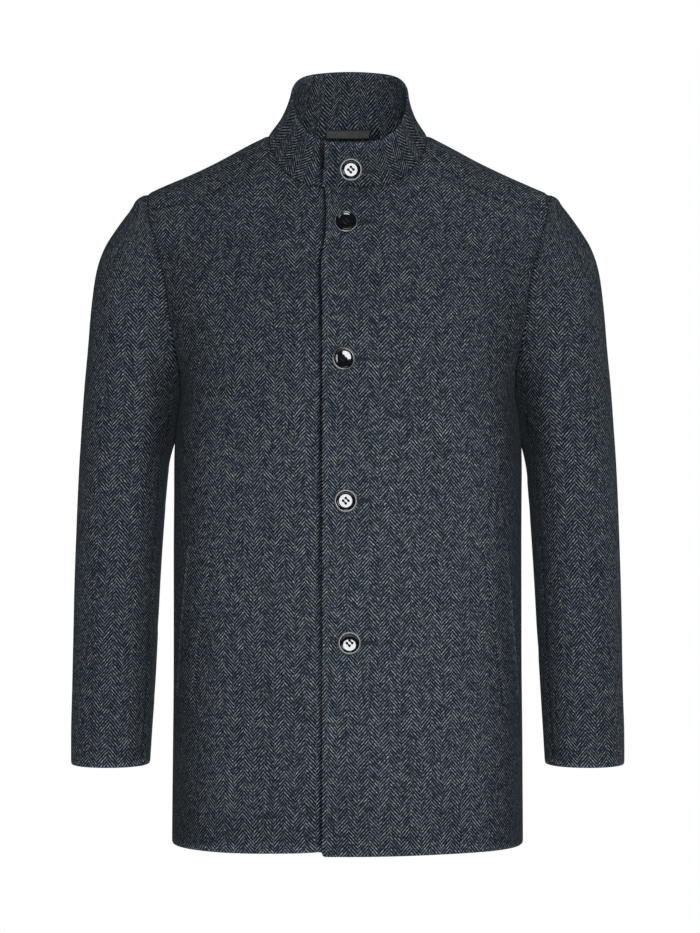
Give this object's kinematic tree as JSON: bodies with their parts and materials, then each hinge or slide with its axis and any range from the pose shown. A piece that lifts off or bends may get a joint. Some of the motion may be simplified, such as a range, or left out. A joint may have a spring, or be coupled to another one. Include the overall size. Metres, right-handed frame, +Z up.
{
  "type": "coat with a stand collar, filled out with no wearer",
  "caption": "Short single-breasted wool coat with a buttoned stand collar, slanted welt pockets and set-in sleeves, filled out as if worn.",
  "frame": {"origin": "middle of the neck, level with the points where the shoulders meet the collar", "axes": "+Z up, -Y towards the front of the coat, +X towards the wearer's left"},
  "size_m": [0.6148, 0.2597, 0.8725],
  "materials": {
    "wool": "matte",
    "button": "gloss",
    "tape": "satin"
  },
  "bodies": {
    "root": {"front_left": "wool", "front_right": "wool", "back": "wool", "collar": "wool", "top_sleeve_left": "wool", "under_sleeve_left": "wool", "top_sleeve_right": "wool", "under_sleeve_right": "wool", "pocket_welt_left": "wool", "pocket_welt_right": "wool", "neck_loop": "tape", "button_collar": "button", "button_1": "button", "button_2": "button", "button_3": "button", "button_4": "button"}
  },
  "joints": []
}
